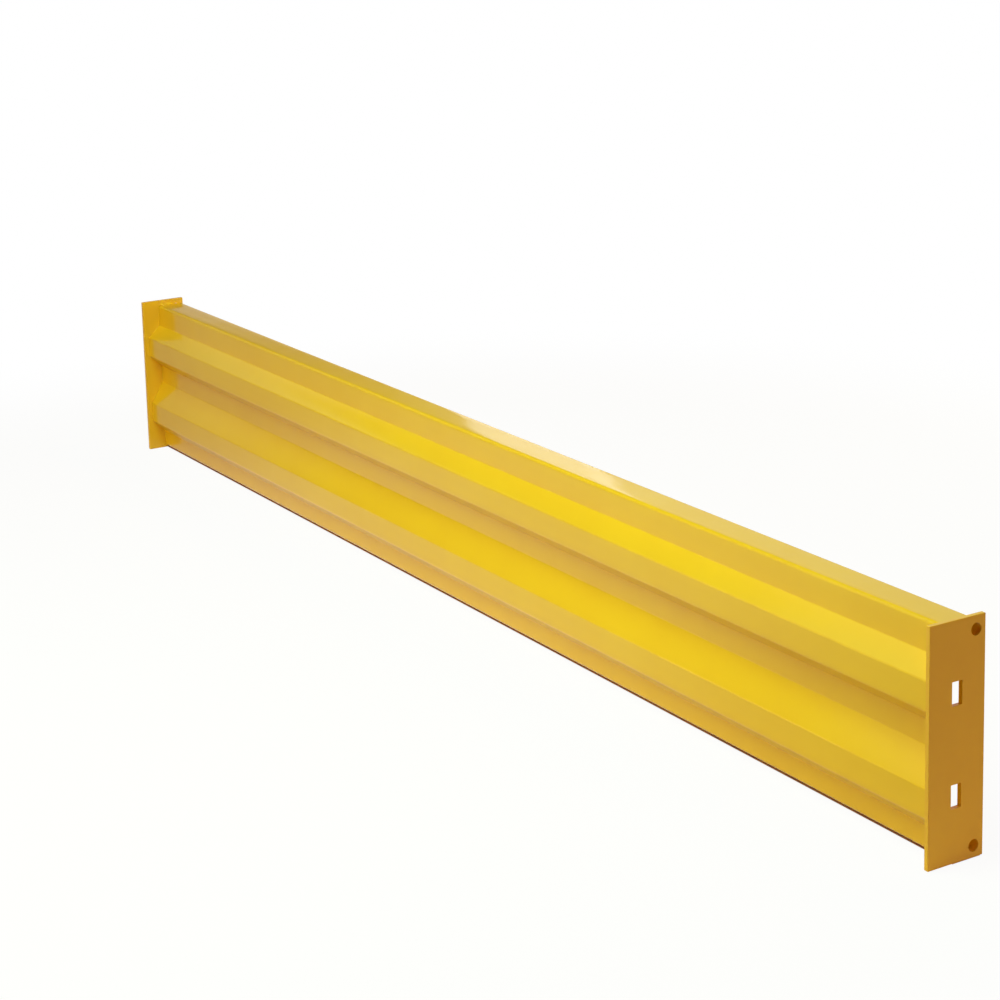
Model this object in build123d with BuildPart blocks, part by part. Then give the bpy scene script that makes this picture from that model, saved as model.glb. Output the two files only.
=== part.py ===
from build123d import *
import os

# Guard rail: one corrugated steel sheet between two welded end plates.
# X runs along the rail, Y from the front (traffic side) to the open back, Z up.
# The origin is at the bottom centre of the whole rail. All sizes are in millimetres.

os.makedirs("parts", exist_ok=True)

# rail and end plates
rail_length = 2921.0
plate_depth = 109.0
plate_thickness = 7.94
plate_corner_radius = 1.5
plate_edge_break = 0.5

# how far the sheet stays inside the plates' edges
top_gap = 12.5
bottom_gap = 5.0
rib_setback = 12.0
face_setback = 42.5
back_setback = 2.5

# the sheet and its section: heights between fold lines, from the top down
sheet_thickness = 3.0
bend_radius = 5.0
upper_face_height = 51.5
upper_shoulder_height = 28.5
upper_rib_height = 46.5
upper_underside_height = 28.5
valley_height = 42.0
lower_shoulder_height = 52.0
lower_rib_height = 46.0
lower_underside_height = 28.5
lower_face_height = 40.0
lip_length = 30.0

# round holes near the plates' back corners, and rectangular slots
hole_radius = 10.0
hole_back_margin = 18.5
hole_top_margin = 22.0
hole_bottom_margin = 19.0
slot_width = 20.0
slot_height = 38.0
slot_corner_radius = 1.0
slot_setback = 54.5
slot_spacing = 161.0

# weld beads
bead_leg = 5.0
bead_crown = 0.9
bead_end_chamfer = 1.6
bead_clearance = 1.5

# heights of the fold lines above the bottom of the plates
sheet_bottom = bottom_gap
lower_face_head = sheet_bottom + lower_face_height
lower_rib_foot = lower_face_head + lower_underside_height
lower_rib_head = lower_rib_foot + lower_rib_height
valley_foot = lower_rib_head + lower_shoulder_height
valley_head = valley_foot + valley_height
upper_rib_foot = valley_head + upper_underside_height
upper_rib_head = upper_rib_foot + upper_rib_height
upper_face_foot = upper_rib_head + upper_shoulder_height
sheet_top = upper_face_foot + upper_face_height
plate_height = sheet_top + top_gap

# where the middle of the sheet's thickness runs
half_thickness = sheet_thickness / 2
plate_front = -plate_depth / 2
plate_back = plate_depth / 2
rib_fold = plate_front + rib_setback + half_thickness
face_fold = plate_front + face_setback + half_thickness
back_fold = plate_back - back_setback - half_thickness
top_fold = sheet_top - half_thickness
bottom_fold = sheet_bottom + half_thickness
joint_x = rail_length / 2 - plate_thickness

# The sheet is folded from one strip, so it is one line traced at the sheet's thickness.
with BuildPart() as rail_panel:
    with BuildSketch(Plane.YZ.offset(-joint_x)):
        with BuildLine():
            FilletPolyline(
                (back_fold, top_fold - lip_length),
                (back_fold, top_fold),
                (face_fold, top_fold),
                (face_fold, upper_face_foot),
                (rib_fold, upper_rib_head),
                (rib_fold, upper_rib_foot),
                (face_fold, valley_head),
                (face_fold, valley_foot),
                (rib_fold, lower_rib_head),
                (rib_fold, lower_rib_foot),
                (face_fold, lower_face_head),
                (face_fold, bottom_fold),
                (back_fold, bottom_fold),
                (back_fold, bottom_fold + lip_length),
                radius=bend_radius,
            )
        trace(line_width=sheet_thickness)
    extrude(amount=2 * joint_x)

rail_panel.part.label = "rail_panel"
export_step(rail_panel.part, "parts/rail_panel.step")

# The end plates: each is drawn on its inner face, where the sheet ends, and grows outwards.
hole_y = plate_back - hole_back_margin
slot_y = plate_front + slot_setback
slot_middle = (sheet_top + sheet_bottom) / 2

for side_name, side in (("left", -1), ("right", 1)):
    inner_face = Plane(origin=(side * joint_x, 0, 0), x_dir=(0, 1, 0), z_dir=(1, 0, 0))
    outwards = side * plate_thickness
    with BuildPart() as end_plate:
        with BuildSketch(inner_face):
            with Locations((0, plate_height / 2)):
                RectangleRounded(plate_depth, plate_height, plate_corner_radius)
        extrude(amount=outwards)
        chamfer(end_plate.edges().filter_by(Axis.X, reverse=True), plate_edge_break)
        with BuildSketch(inner_face):
            with Locations((hole_y, hole_bottom_margin), (hole_y, plate_height - hole_top_margin)):
                Circle(hole_radius)
            with Locations((slot_y, slot_middle)):
                with GridLocations(0, slot_spacing, 1, 2):
                    RectangleRounded(slot_width, slot_height, slot_corner_radius)
        extrude(amount=outwards, mode=Mode.SUBTRACT)
    end_plate.part.label = f"end_plate_{side_name}"
    export_step(end_plate.part, f"parts/end_plate_{side_name}.step")


def weld_bead(name, start, along, outward, length):
    """A fillet weld in the corner between the sheet and an end plate.

    It runs from `start` along the joint, and `outward` points away from the sheet's surface.
    """
    inward = (-1, 0, 0) if start[0] > 0 else (1, 0, 0)
    section = Plane(origin=start, x_dir=inward, z_dir=along)
    rise = bead_leg if section.y_dir.dot(Vector(*outward)) > 0 else -bead_leg
    swell = 0.5 + bead_crown / bead_leg
    with BuildPart() as bead:
        with BuildSketch(section):
            with BuildLine():
                ThreePointArc((bead_leg, 0), (bead_leg * swell, rise * swell), (0, rise))
                Polyline((0, rise), (0, 0), (bead_leg, 0))
            make_face()
        extrude(amount=length)
        chamfer(bead.edges().filter_by(GeomType.CIRCLE), bead_end_chamfer)
    bead.part.label = name
    export_step(bead.part, f"parts/{name}.step")


# The flange beads lie on top of each flange's flat, clear of its front bend and of the corner hole.
flange_bead_start = face_fold + bend_radius + bead_clearance
flange_bead_end = hole_y - hole_radius - bead_clearance

# The other beads are on the flat backs of the ribs and the valley.
flat_margin = bend_radius + bead_clearance
inside_joints = (
    ("upper_rib", rib_fold, upper_rib_foot, upper_rib_head),
    ("valley", face_fold, valley_foot, valley_head),
    ("lower_rib", rib_fold, lower_rib_foot, lower_rib_head),
)

for side_name, side in (("left", -1), ("right", 1)):
    weld_x = side * joint_x
    for flange_name, flange_fold in (("top", top_fold), ("bottom", bottom_fold)):
        weld_bead(
            name=f"weld_{flange_name}_{side_name}",
            start=(weld_x, flange_bead_start, flange_fold + half_thickness),
            along=(0, 1, 0),
            outward=(0, 0, 1),
            length=flange_bead_end - flange_bead_start,
        )
    for spot, fold_y, foot, head in inside_joints:
        weld_bead(
            name=f"weld_{spot}_{side_name}",
            start=(weld_x, fold_y + half_thickness, foot + flat_margin),
            along=(0, 0, 1),
            outward=(0, 1, 0),
            length=head - foot - 2 * flat_margin,
        )
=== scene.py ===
import bmesh
import bpy
import math
import random
from mathutils import Euler, Matrix, Vector, noise

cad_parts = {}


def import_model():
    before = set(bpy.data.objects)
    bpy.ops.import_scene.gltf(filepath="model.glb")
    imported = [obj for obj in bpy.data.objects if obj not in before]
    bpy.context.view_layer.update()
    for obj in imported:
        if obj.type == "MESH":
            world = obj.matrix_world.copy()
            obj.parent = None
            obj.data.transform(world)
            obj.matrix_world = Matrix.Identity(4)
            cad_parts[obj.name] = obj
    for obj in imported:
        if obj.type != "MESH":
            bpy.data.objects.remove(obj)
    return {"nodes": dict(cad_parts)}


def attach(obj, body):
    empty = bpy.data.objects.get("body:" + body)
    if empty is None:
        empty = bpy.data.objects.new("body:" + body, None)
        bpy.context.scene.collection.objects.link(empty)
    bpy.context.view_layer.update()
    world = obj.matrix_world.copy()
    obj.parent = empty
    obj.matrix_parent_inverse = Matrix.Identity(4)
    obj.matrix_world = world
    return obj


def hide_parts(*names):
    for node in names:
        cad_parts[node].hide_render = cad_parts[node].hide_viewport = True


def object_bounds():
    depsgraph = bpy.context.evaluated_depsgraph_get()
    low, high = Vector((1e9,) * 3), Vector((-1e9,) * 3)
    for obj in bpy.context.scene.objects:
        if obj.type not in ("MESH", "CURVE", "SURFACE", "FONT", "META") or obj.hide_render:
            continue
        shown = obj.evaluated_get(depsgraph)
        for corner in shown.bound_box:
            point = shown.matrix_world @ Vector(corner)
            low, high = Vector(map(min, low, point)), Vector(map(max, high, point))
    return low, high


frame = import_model()
cad_low, cad_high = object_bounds()
random.seed(7)

# The frame is in metres, and the rail's own sizes are written in millimetres.
MM = 0.001


# Helpers for shader nodes

def bare_tree(owner):
    """The empty node tree of a new material or world."""
    owner.use_nodes = True
    owner.node_tree.nodes.clear()
    return owner.node_tree


def node(tree, kind, place, **inputs):
    """A shader node with some of its inputs set by name."""
    made = tree.nodes.new(kind)
    made.location = place
    for name, value in inputs.items():
        made.inputs[name.replace("_", " ")].default_value = value
    return made


def maths(tree, operation, place, *values, clamp=False):
    """The result of a Math node, whose values are numbers or outputs of other nodes."""
    made = node(tree, "ShaderNodeMath", place)
    made.operation = operation
    made.use_clamp = clamp
    for socket, value in zip(made.inputs, values):
        if isinstance(value, (int, float)):
            socket.default_value = value
        else:
            tree.links.new(value, socket)
    return made.outputs["Value"]


def vector_maths(tree, operation, place, vector, constant=None):
    """The Vector Math node of an output and, where it takes one, a constant vector."""
    made = node(tree, "ShaderNodeVectorMath", place)
    made.operation = operation
    tree.links.new(vector, made.inputs[0])
    if constant is not None:
        made.inputs[1].default_value = constant
    return made


def ranged(tree, place, value, start, end, low=0.0, high=1.0, smooth=True):
    """A value moved from the range start to end into low to high, and held there outside it."""
    made = node(tree, "ShaderNodeMapRange", place, From_Min=start, From_Max=end, To_Min=low, To_Max=high)
    if smooth:
        made.interpolation_type = "SMOOTHSTEP"
    tree.links.new(value, made.inputs["Value"])
    return made.outputs["Result"]


def colour_ramp(tree, place, amount, stops):
    """The colour that a ramp of (position, colour) stops gives for an amount."""
    made = node(tree, "ShaderNodeValToRGB", place)
    ramp = made.color_ramp
    for index, (position, colour) in enumerate(stops):
        stop = ramp.elements[index]
        stop.position = position
        stop.color = (*colour, 1.0)
    tree.links.new(amount, made.inputs["Fac"])
    return made.outputs["Color"]


def mixed(tree, place, amount, first, second):
    """The first shader where the amount is 0 and the second where it is 1."""
    made = node(tree, "ShaderNodeMixShader", place)
    tree.links.new(amount, made.inputs["Fac"])
    tree.links.new(first, made.inputs[1])
    tree.links.new(second, made.inputs[2])
    return made.outputs["Shader"]


# The paint

SPECULAR_LEVEL = 0.16
COAT_WEIGHT = 0.46
COAT_ROUGHNESS = 0.06
CLOUD_SCALE = 5.0
CLOUD_START, CLOUD_END = 0.35, 0.65
PATCH_SCALE = 22.0
GLOSSIER, DULLER = 0.05, 0.07
PEEL_SCALE = 420.0
PEEL_STRENGTH = 0.35
PAINT_ROUGHNESS = 0.38
WELD_ROUGHNESS = 0.2
PAINT_PEEL = 0.2 * MM
WELD_PEEL = 0.1 * MM


def powder_coat(name, tone, deep_tone, roughness, peel_depth):
    """Yellow powder coat: an orange-peel surface, faint clouds in the colour and uneven gloss."""
    material = bpy.data.materials.new(name)
    tree = bare_tree(material)
    output = node(tree, "ShaderNodeOutputMaterial", (900, 0))
    shader = node(
        tree, "ShaderNodeBsdfPrincipled", (600, 0),
        Specular_IOR_Level=SPECULAR_LEVEL, Coat_Weight=COAT_WEIGHT, Coat_Roughness=COAT_ROUGHNESS,
    )
    tree.links.new(shader.outputs["BSDF"], output.inputs["Surface"])
    place = node(tree, "ShaderNodeTexCoord", (-1100, 0)).outputs["Object"]

    clouds = node(tree, "ShaderNodeTexNoise", (-800, 200), Scale=CLOUD_SCALE, Detail=4.0, Roughness=0.55)
    tree.links.new(place, clouds.inputs["Vector"])
    stops = ((CLOUD_START, deep_tone), (CLOUD_END, tone))
    shade = colour_ramp(tree, (-550, 200), clouds.outputs["Fac"], stops)
    tree.links.new(shade, shader.inputs["Base Color"])

    patches = node(tree, "ShaderNodeTexNoise", (-800, -50), Scale=PATCH_SCALE, Detail=3.0)
    tree.links.new(place, patches.inputs["Vector"])
    gloss = ranged(
        tree, (-550, -50), patches.outputs["Fac"], 0.0, 1.0,
        roughness - GLOSSIER, roughness + DULLER, smooth=False,
    )
    tree.links.new(gloss, shader.inputs["Roughness"])

    peel = node(tree, "ShaderNodeTexNoise", (-800, -320), Scale=PEEL_SCALE, Detail=2.0, Roughness=0.4)
    tree.links.new(place, peel.inputs["Vector"])
    bump = node(tree, "ShaderNodeBump", (-300, -320), Strength=PEEL_STRENGTH, Distance=peel_depth)
    tree.links.new(peel.outputs["Fac"], bump.inputs["Height"])
    tree.links.new(bump.outputs["Normal"], shader.inputs["Normal"])
    tree.links.new(bump.outputs["Normal"], shader.inputs["Coat Normal"])
    return material


YELLOW = (0.85, 0.53, 0.013)
DEEP_YELLOW = (0.83, 0.505, 0.012)
# The plates wear the sheet's paint. Their own, more orange yellow is painted shade for the plates' faces, which
# stand in shade.
SHADED_PLATE_YELLOW = (0.87, 0.50, 0.026)
DEEP_SHADED_PLATE_YELLOW = (0.85, 0.475, 0.024)
sheet_paint = powder_coat("sheet_paint", YELLOW, DEEP_YELLOW, PAINT_ROUGHNESS, PAINT_PEEL)
shaded_plate_paint = powder_coat("shaded_plate_paint", SHADED_PLATE_YELLOW, DEEP_SHADED_PLATE_YELLOW, PAINT_ROUGHNESS, PAINT_PEEL)
weld_paint = powder_coat("weld_paint", YELLOW, DEEP_YELLOW, WELD_ROUGHNESS, WELD_PEEL)


def dress(piece, material):
    """One material in every slot of a piece."""
    if not piece.material_slots:
        piece.data.materials.append(material)
    for slot in piece.material_slots:
        slot.material = material


# Helpers for pieces

def new_piece(name, vertices, faces, material, node_name, sharp_angle):
    """A piece of the rail in place of the plain solid of one node."""
    mesh = bpy.data.meshes.new(name)
    mesh.from_pydata(vertices, [], faces)
    mesh.validate()
    mesh.materials.append(material)
    mesh.shade_smooth()
    mesh.set_sharp_from_angle(angle=math.radians(sharp_angle))
    piece = bpy.data.objects.new(name, mesh)
    bpy.context.scene.collection.objects.link(piece)
    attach(piece, "root")
    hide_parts(node_name)
    set_outward(piece)
    return piece


def set_outward(piece):
    """Turn all faces of a closed piece outwards."""
    shape = bmesh.new()
    shape.from_mesh(piece.data)
    bmesh.ops.recalc_face_normals(shape, faces=shape.faces)
    shape.to_mesh(piece.data)
    shape.free()


def world_box(cad_piece):
    """The lowest and highest corner of a CAD piece in the shared frame."""
    corners = [cad_piece.matrix_world @ Vector(corner) for corner in cad_piece.bound_box]
    low = [min(corner[axis] for corner in corners) for axis in range(3)]
    high = [max(corner[axis] for corner in corners) for axis in range(3)]
    return low, high


# The sheet: the same folded section, with finer bends and the slight waves of roll-formed steel

SHEET_THICKNESS = 3.0 * MM
BEND_RADIUS = 5.0 * MM
BEND_STEPS = 12
FLAT_STEP = 12.0 * MM
RAIL_STEPS = 96
SHEET_SHARP_ANGLE = 35

# The middle of the sheet's thickness: depth and height of each fold, from the upper return lip to the lower one
BACK, FACE, RIB = 50.5 * MM, -10.5 * MM, -41.0 * MM
FOLDS = (
    (BACK, 337.0 * MM), (BACK, 367.0 * MM), (FACE, 367.0 * MM), (FACE, 317.0 * MM),
    (RIB, 288.5 * MM), (RIB, 242.0 * MM), (FACE, 213.5 * MM), (FACE, 171.5 * MM),
    (RIB, 119.5 * MM), (RIB, 73.5 * MM), (FACE, 45.0 * MM), (FACE, 6.5 * MM),
    (BACK, 6.5 * MM), (BACK, 36.5 * MM),
)

# The waves: depth, how far from the ends they start, and pace along, pace across, offset and share of each kind
WAVE_DEPTH = 0.16 * MM
WAVE_FADE = 0.12
WAVES = ((2.6, 7.0, 3.1, 0.75), (9.0, 16.0, 8.7, 0.25))


def folded_line():
    """Points along the middle of the sheet, each with the direction of its surface."""
    points = []

    def straight(start, end):
        run = end - start
        steps = max(1, round(run.length / FLAT_STEP))
        normal = Vector((run.y, -run.x)).normalized()
        for step in range(steps + 1):
            points.append((start + run * (step / steps), normal))

    corners = [Vector(fold) for fold in FOLDS]
    previous = corners[0]
    for before, corner, after in zip(corners, corners[1:], corners[2:]):
        incoming = (corner - before).normalized()
        outgoing = (after - corner).normalized()
        turn = incoming.angle(outgoing)
        reach = BEND_RADIUS * math.tan(turn / 2)
        start = corner - incoming * reach
        straight(previous, start)
        to_left = 1 if incoming.cross(outgoing) > 0 else -1
        from_centre = Vector((incoming.y, -incoming.x)) * to_left
        centre = start - from_centre * BEND_RADIUS
        for step in range(1, BEND_STEPS):
            swing = to_left * turn * step / BEND_STEPS
            arm = Vector((
                from_centre.x * math.cos(swing) - from_centre.y * math.sin(swing),
                from_centre.x * math.sin(swing) + from_centre.y * math.cos(swing),
            ))
            points.append((centre + arm * BEND_RADIUS, arm * to_left))
        previous = corner + outgoing * reach
    straight(previous, corners[-1])
    return points


def sheet_wave(along, height):
    """How far the sheet stands off its true place there. It is nothing at the two ends."""
    end_fade = min(1.0, (cad_high.x - abs(along)) / WAVE_FADE)
    swell = 0.0
    for pace, height_pace, offset, share in WAVES:
        swell += share * noise.noise(Vector((along * pace, height * height_pace, offset)))
    return WAVE_DEPTH * end_fade * swell


def rail_sheet():
    """The sheet from one end plate to the other, closed at both ends."""
    low, high = world_box(frame["nodes"]["rail_panel"])
    left, right = low[0], high[0]
    line = folded_line()
    half = SHEET_THICKNESS / 2
    section = [(place, normal, half) for place, normal in line]
    section += [(place, normal, -half) for place, normal in reversed(line)]
    count = len(section)
    vertices = []
    for step in range(RAIL_STEPS + 1):
        along = left + (right - left) * step / RAIL_STEPS
        for place, normal, offset in section:
            spot = place + normal * (offset + sheet_wave(along, place.y))
            vertices.append((along, spot.x, spot.y))
    faces = []
    for first in (0, RAIL_STEPS * count):
        for spot in range(count // 2 - 1):
            across = count - 1 - spot
            faces.append((first + spot, first + spot + 1, first + across - 1, first + across))
    for step in range(RAIL_STEPS):
        for spot in range(count):
            here = step * count + spot
            beside = step * count + (spot + 1) % count
            faces.append((here, here + count, beside + count, beside))
    new_piece("rail_sheet", vertices, faces, sheet_paint, "rail_panel", SHEET_SHARP_ANGLE)


# The weld beads: a convex fillet with the ripples of a moving arc

RIPPLE_PITCH = 2.1 * MM
RIPPLE_STEPS = 6
RIPPLE_BOW = 0.55
BEAD_STEPS = 10
BEAD_TAPER = 2.4 * MM
BEAD_CROWN = 0.75 * MM
BEAD_REACH, RIPPLE_REACH = 0.9, 0.06
BEAD_FILL, RIPPLE_FILL = 0.65, 0.35
LEAN, LEAN_PACE, LEAN_SPREAD = 0.05, 180.0, 10.0
THINNEST_END = 0.02
BEAD_SHARP_ANGLE = 50
DIAGONAL = 0.7071


def bead_fullness(travel, length):
    """The bead's thickness there as a share of its full one. It rounds off towards each end."""
    from_end = min(travel, length - travel) / BEAD_TAPER
    if from_end >= 1.0:
        return 1.0
    return math.sqrt(max(THINNEST_END, 1.0 - (1.0 - from_end) ** 2))


def rippled_bead(cad_piece):
    """A bead with ripples in the same corner as the plain one."""
    low, high = world_box(cad_piece)
    leg = high[0] - low[0]
    run_axis = 1 if high[1] - low[1] > high[2] - low[2] else 2
    out_axis = 3 - run_axis
    plate_x, inward = (high[0], -1) if high[0] > 0 else (low[0], 1)
    length = high[run_axis] - low[run_axis]
    steps = round(length / RIPPLE_PITCH) * RIPPLE_STEPS
    phase = random.uniform(0.0, 1.0)
    vertices, faces = [], []
    for step in range(steps + 1):
        travel = length * step / steps
        fullness = bead_fullness(travel, length)
        lean = LEAN * noise.noise(Vector((travel * LEAN_PACE, phase * LEAN_SPREAD, 0.0)))
        for spot in range(BEAD_STEPS + 1):
            share = spot / BEAD_STEPS
            bow = 4.0 * share * (1.0 - share)
            ripple = abs(math.sin(math.pi * (travel / RIPPLE_PITCH + phase - RIPPLE_BOW * bow)))
            reach = leg * fullness * (BEAD_REACH + RIPPLE_REACH * ripple + lean)
            crown = BEAD_CROWN * fullness * bow * (BEAD_FILL + RIPPLE_FILL * ripple)
            point = [0.0, 0.0, 0.0]
            point[0] = plate_x + inward * (reach * (1.0 - share) + crown * DIAGONAL)
            point[out_axis] = low[out_axis] + reach * share + crown * DIAGONAL
            point[run_axis] = low[run_axis] + travel
            vertices.append(point)
        corner = [plate_x, 0.0, 0.0]
        corner[out_axis], corner[run_axis] = low[out_axis], low[run_axis] + travel
        vertices.append(corner)
    ring = BEAD_STEPS + 2
    for step in range(steps):
        for spot in range(ring):
            here = step * ring + spot
            beside = step * ring + (spot + 1) % ring
            faces.append((here, beside, beside + ring, here + ring))
    faces.append(tuple(range(ring - 1, -1, -1)))
    faces.append(tuple(range(steps * ring, steps * ring + ring)))
    name = "bead_" + cad_piece.name.removeprefix("weld_")
    new_piece(name, vertices, faces, weld_paint, cad_piece.name, BEAD_SHARP_ANGLE)


# The end plates

EDGE_ROUNDING = 0.35 * MM
EDGE_SEGMENTS = 2
EDGE_ANGLE = 40


def ease_edges(plate):
    """Slightly rounded edges on a plate, also around its holes and slots."""
    soft = plate.modifiers.new("eased_edges", "BEVEL")
    soft.width = EDGE_ROUNDING
    soft.segments = EDGE_SEGMENTS
    soft.limit_method = "ANGLE"
    soft.angle_limit = math.radians(EDGE_ANGLE)
    soft.harden_normals = True


for name, piece in list(frame["nodes"].items()):
    if name == "rail_panel":
        dress(piece, sheet_paint)
        rail_sheet()
    elif name.startswith("end_plate"):
        # The plates get the copy of the paint with shade painted into its colour.
        dress(piece, shaded_plate_paint)
        ease_edges(piece)
    else:
        dress(piece, weld_paint)
        rippled_bead(piece)


# The floor

FLOOR_HALF = 30.0
FLOOR_DROP = 0.5 * MM
FLOOR_TONE = (0.9, 0.9, 0.9)

# The shadow that the camera sees: its strength, and how far from the rail's middle it fades out
SHADOW_SHARE = 0.06
SHADOW_START, SHADOW_END = 1.6, 2.6

# The dark strip right under the sheet, a painted brown shadow on the floor: its strength, its front edge and that
# edge's softness, its colour, and how much light it gives back, lowered there as painted shade
CONTACT_SHARE = 0.985
CONTACT_START = FACE + 4.6 * MM
CONTACT_EDGE = 1.4 * MM
CONTACT_SHADOW_TONE = (0.8, 0.3, 0.04)
CONTACT_BOUNCE = 0.15

# The floor as the object reflects it, a painted glow: brightest around one place along the rail
SWEEP_MIDDLE, SWEEP_START, SWEEP_END, SWEEP_TONE = -0.3, 0.45, 1.5, 0.5

# The floor as it lights the object, painted light: warm, and paler near the rail as a painted pool of light, with
# distances across it counted in full and those along it nearly not
BOUNCE_TINT = (1.0, 0.9, 0.78)
BOUNCE_SPREAD = (0.05, 1.0, 0.0)
NEAR_END, FAR_START = 0.14, 0.32
NEAR_TONE, FAR_TONE = 0.76, 0.3


def seen_directly(tree, place):
    """1 for rays from the camera, in reflections and through glass, 0 for the light that falls on the object."""
    path = node(tree, "ShaderNodeLightPath", place)
    seen = path.outputs["Is Camera Ray"]
    for step, ray in enumerate(("Is Glossy Ray", "Is Transmission Ray"), start=1):
        seen = maths(tree, "MAXIMUM", (place[0] + 200 * step, place[1]), seen, path.outputs[ray])
    return seen


def under_sheet(tree, axes):
    """1 on the floor right under the sheet, where the shadow strip is painted, 0 elsewhere."""
    inside = None
    limits = (("X", cad_low.x, cad_high.x), ("Y", CONTACT_START, BACK))
    for row, (axis, low, high) in enumerate(limits):
        for edge, inward in ((low, 1), (high, -1)):
            soft = inward * CONTACT_EDGE / 2
            past = ranged(tree, (-1100, -500 - 250 * row), axes.outputs[axis], edge - soft, edge + soft)
            if inside is None:
                inside = past
            else:
                inside = maths(tree, "MULTIPLY", (-800, -500 - 250 * row), inside, past)
    return inside


def floor_glow(tree, axes):
    """White to the camera, and in reflections a painted glow, dimmer away from the brightest place."""
    from_middle = maths(
        tree, "ABSOLUTE", (-1100, 500),
        maths(tree, "SUBTRACT", (-1300, 500), axes.outputs["X"], SWEEP_MIDDLE),
    )
    sweep = ranged(tree, (-900, 500), from_middle, SWEEP_START, SWEEP_END, 1.0, SWEEP_TONE)
    to_camera = node(tree, "ShaderNodeLightPath", (-900, 800)).outputs["Is Camera Ray"]
    glow = node(tree, "ShaderNodeEmission", (0, 150), Color=(1, 1, 1, 1))
    tree.links.new(maths(tree, "MAXIMUM", (-600, 500), sweep, to_camera), glow.inputs["Strength"])
    return glow.outputs["Emission"]


def floor_shadow(tree, close):
    """The plain floor, with a painted brown shadow strip under the sheet."""
    # Painted shadow: the floor's colour turns dark brown under the sheet.
    tint = colour_ramp(tree, (-300, -100), close, ((0.0, FLOOR_TONE), (1.0, CONTACT_SHADOW_TONE)))
    matt = node(tree, "ShaderNodeBsdfDiffuse", (0, -50))
    tree.links.new(tint, matt.inputs["Color"])
    return matt.outputs["BSDF"]


def floor_bounce(tree, place, close):
    """The floor as the object's own light finds it, with painted light in its colour: pale near the rail, darker
    away from it, and painted shade right under it.
    """
    spread = vector_maths(tree, "MULTIPLY", (-1300, -1200), place, BOUNCE_SPREAD)
    apart = vector_maths(tree, "LENGTH", (-1100, -1200), spread.outputs["Vector"])
    tone = ranged(tree, (-900, -1200), apart.outputs["Value"], NEAR_END, FAR_START, NEAR_TONE, FAR_TONE)
    under = ranged(tree, (-900, -1500), close, 0.0, 1.0, 1.0, CONTACT_BOUNCE, smooth=False)
    level = maths(tree, "MULTIPLY", (-750, -1300), tone, under)
    warm = colour_ramp(tree, (-750, -1500), level, ((0.0, (0.0, 0.0, 0.0)), (1.0, BOUNCE_TINT)))
    matt = node(tree, "ShaderNodeBsdfDiffuse", (-600, -1200))
    tree.links.new(warm, matt.inputs["Color"])
    return matt.outputs["BSDF"]


def stage_material():
    """White to the camera and in reflections, with the rail's soft shadow on it.

    The shadow is strongest under the sheet, where a dark brown shadow strip is painted, and is gone well away from
    the rail.
    """
    material = bpy.data.materials.new("studio_floor")
    tree = bare_tree(material)
    output = node(tree, "ShaderNodeOutputMaterial", (600, 0))
    place = node(tree, "ShaderNodeTexCoord", (-1500, -300)).outputs["Object"]
    axes = node(tree, "ShaderNodeSeparateXYZ", (-1300, -600))
    tree.links.new(place, axes.inputs["Vector"])
    close = under_sheet(tree, axes)

    apart = vector_maths(tree, "LENGTH", (-1300, -300), place)
    wide = ranged(tree, (-1100, -300), apart.outputs["Value"], SHADOW_START, SHADOW_END, SHADOW_SHARE, 0.0)
    strong = maths(tree, "MULTIPLY", (-500, -500), close, CONTACT_SHARE)
    share = maths(tree, "MAXIMUM", (-300, -400), wide, strong)
    shown = mixed(tree, (250, 100), share, floor_glow(tree, axes), floor_shadow(tree, close))
    final = mixed(tree, (420, 0), seen_directly(tree, (-300, 400)), floor_bounce(tree, place, close), shown)
    tree.links.new(final, output.inputs["Surface"])
    return material


def floor():
    """A large flat floor under the end plates."""
    half = FLOOR_HALF
    mesh = bpy.data.meshes.new("studio_floor")
    corners = [(-half, -half, 0), (half, -half, 0), (half, half, 0), (-half, half, 0)]
    mesh.from_pydata(corners, [], [(0, 1, 2, 3)])
    mesh.materials.append(stage_material())
    piece = bpy.data.objects.new("studio_floor", mesh)
    bpy.context.scene.collection.objects.link(piece)
    piece.location.z = cad_low.z - FLOOR_DROP


# The room

# A faint fill on what faces the rail's left end
LEFT_FILL_TINT = (1.0, 0.6, 0.5, 1.0)
LEFT_FILL_STRENGTH = 0.17

# What the gloss reflects of the room: white cards, each bounded by slanting planes, in the dark.
# Each plane: its slant, and where along it the card starts and is full.
REFLECTED_CARDS = (
    (((0.0, -0.4, -1.0), -0.378, -0.350), ((0.0, 1.0, 0.0), -0.02, 0.02)),
    (((0.0, -0.4, -1.0), -0.378, -0.350), ((0.0, 1.0, 0.0), -0.46, -0.40), ((1.0, 0.0, 0.0), -0.925, -0.885)),
    (((0.0, -0.81, 1.0), 0.83, 0.86),),
)
ROOM_TONE = 0.06


def on_card(tree, direction, card, row):
    """1 for rays that meet one reflected card, 0 for the others."""
    inside = None
    for column, (slant, start, end) in enumerate(card):
        left, height = 450 * column - 900, 900 + 250 * row
        tilt = vector_maths(tree, "DOT_PRODUCT", (left, height), direction, slant)
        past = ranged(tree, (left + 200, height), tilt.outputs["Value"], start, end)
        if inside is None:
            inside = past
        else:
            inside = maths(tree, "MULTIPLY", (left + 400, height), inside, past)
    return inside


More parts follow.
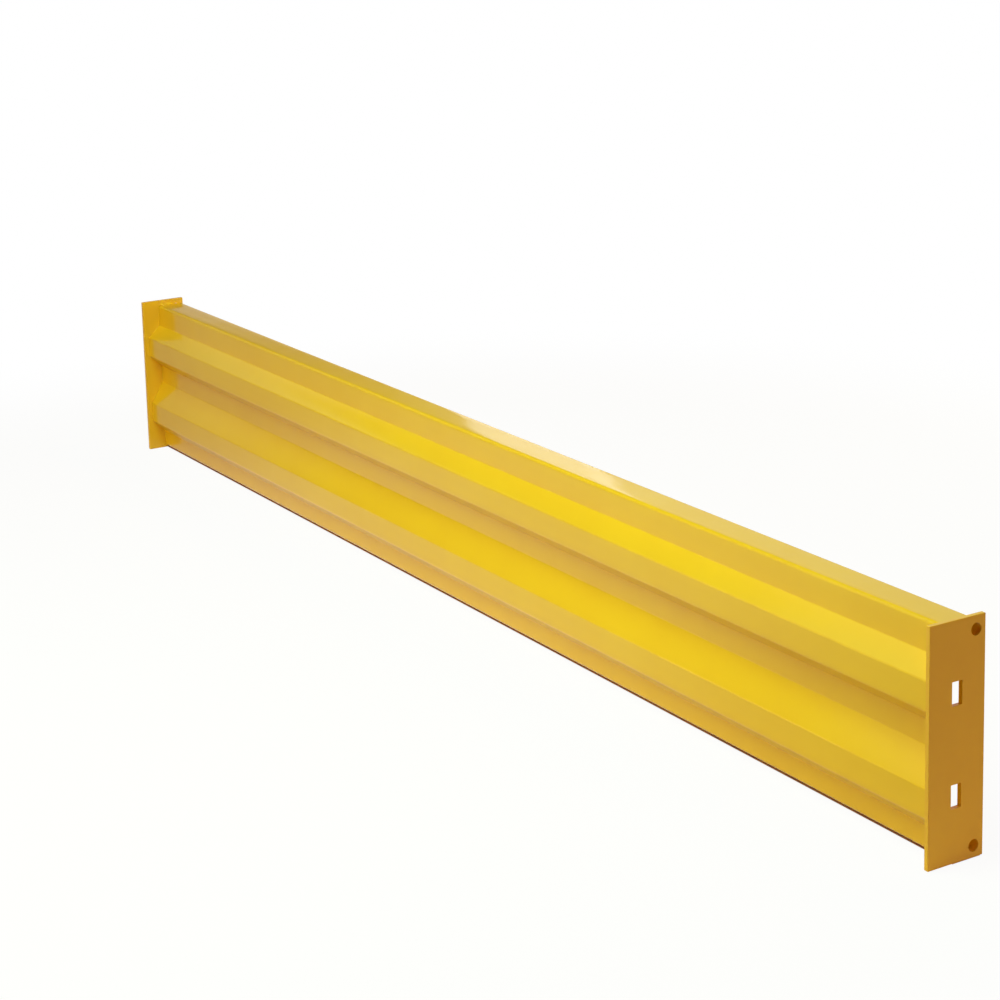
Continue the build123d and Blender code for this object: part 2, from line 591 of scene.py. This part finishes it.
def world():
    """White to the camera, white cards in a darker room where it is reflected, and a soft fill for the object."""
    made = bpy.data.worlds.new("studio")
    bpy.context.scene.world = made
    tree = bare_tree(made)
    output = node(tree, "ShaderNodeOutputWorld", (900, 0))
    direction = node(tree, "ShaderNodeTexCoord", (-1100, 0)).outputs["Generated"]
    axes = node(tree, "ShaderNodeSeparateXYZ", (-900, 0))
    tree.links.new(direction, axes.inputs["Vector"])

    fill = node(tree, "ShaderNodeBackground", (-200, 0), Color=LEFT_FILL_TINT)
    to_left = maths(tree, "MULTIPLY", (-650, 0), axes.outputs["X"], -1.0, clamp=True)
    level = maths(tree, "MULTIPLY", (-450, 0), to_left, LEFT_FILL_STRENGTH)
    tree.links.new(level, fill.inputs["Strength"])

    brightness = node(tree, "ShaderNodeLightPath", (-650, 600)).outputs["Is Camera Ray"]
    for row, card in enumerate(REFLECTED_CARDS):
        met = on_card(tree, direction, card, row)
        brightness = maths(tree, "MAXIMUM", (450, 900 + 250 * row), brightness, met)
    brightness = maths(tree, "MAXIMUM", (100, 600), brightness, ROOM_TONE)
    white = node(tree, "ShaderNodeBackground", (-200, 250), Color=(1, 1, 1, 1))
    tree.links.new(brightness, white.inputs["Strength"])

    seen = seen_directly(tree, (-650, 800))
    final = mixed(tree, (700, 0), seen, fill.outputs["Background"], white.outputs["Background"])
    tree.links.new(final, output.inputs["Surface"])


# The lamps

KEY_TINT = (0.68, 0.9, 0.55)
FILL_TINT = (0.95, 0.735, 0.47)
SIDE_TINT = (1.0, 0.66, 0.4)
FAR_TINT = (1.0, 0.56, 0.3)
REAR_TINT = (0.9, 0.97, 0.6)
TOP_TINT = (1.0, 0.42, 0.06)
CARD_TINT = (0.92, 0.97, 1.0)

# Name, place, target, size, power and colour of each lamp
LAMPS = (
    ("overhead", (0.9, -1.05, 3.05), (0.5, 0.0, 0.2), (1.3, 1.3), 40.5, KEY_TINT),
    ("overhead_right", (1.3, -1.1, 3.45), (1.1, 0.0, 0.2), (1.3, 1.3), 29.0, KEY_TINT),
    ("front_upper", (0.2, -1.6, 2.0), (0.2, 0.0, 0.2), (1.6, 0.8), 30.0, KEY_TINT),
    ("far_fill", (-2.3, -3.0, 0.9), (-1.3, 0.0, 0.2), (1.2, 0.8), 18.0, FAR_TINT),
    ("front_low", (0.5, -3.4, 0.6), (0.5, 0.0, 0.15), (1.4, 0.8), 19.4, FILL_TINT),
    ("front_low_right", (1.3, -3.4, 0.6), (1.2, 0.0, 0.15), (1.2, 0.8), 12.2, FILL_TINT),
    ("right_fill", (4.2, 1.3, 1.1), (1.4, 0.0, 0.2), (2.0, 1.6), 37.3, SIDE_TINT),
    ("back_card", (-3.8, 2.6, 1.72), (0.3, 0.0, 0.38), (0.6, 1.5), 5.1, CARD_TINT),
    ("back_wide", (-2.7, 3.1, 1.9), (0.9, 0.0, 0.38), (1.7, 1.4), 5.7, CARD_TINT),
    ("rear_high", (-0.7, 1.6, 2.6), (-0.2, 0.0, 0.3), (2.2, 0.6), 21.5, TOP_TINT),
    ("rear", (0.0, 3.4, 0.7), (0.0, 0.0, 0.2), (2.4, 1.0), 42.0, REAR_TINT),
)


def area_light(name, place, target, size, power, colour):
    """A rectangular lamp at a place, pointing at a target."""
    lamp = bpy.data.lights.new(name, "AREA")
    lamp.shape = "RECTANGLE"
    lamp.size, lamp.size_y = size
    lamp.energy = power
    lamp.color = colour
    piece = bpy.data.objects.new(name, lamp)
    bpy.context.scene.collection.objects.link(piece)
    piece.location = place
    piece.rotation_euler = (Vector(target) - Vector(place)).to_track_quat("-Z", "Y").to_euler()


# The camera: the photograph's view from the right and above, with its lens shift. Its values are fitted to
# the plates' corners and the sheet's folds in the photograph.

SENSOR_WIDTH = 36.0
LENS = 82.81
LENS_SHIFT = -0.25
AZIMUTH, ELEVATION, ROLL = 1.0251, 0.1823, -0.0247
CAMERA_PLACE = (3.8610, -2.2255, 1.5384)
FARTHEST_VIEW = 200.0


def camera():
    """The scene's camera, pointed by its azimuth, elevation and roll in radians."""
    data = bpy.data.cameras.new("camera")
    data.sensor_width = SENSOR_WIDTH
    data.lens = LENS
    data.shift_y = LENS_SHIFT
    data.clip_end = FARTHEST_VIEW
    piece = bpy.data.objects.new("camera", data)
    bpy.context.scene.collection.objects.link(piece)
    aim = Euler((math.pi / 2 - ELEVATION, 0.0, AZIMUTH)).to_matrix()
    piece.rotation_euler = (aim @ Matrix.Rotation(ROLL, 3, "Z")).to_euler()
    piece.location = CAMERA_PLACE
    bpy.context.scene.camera = piece


floor()
world()
for lamp in LAMPS:
    area_light(*lamp)
camera()
bpy.context.scene.view_settings.view_transform = "Standard"
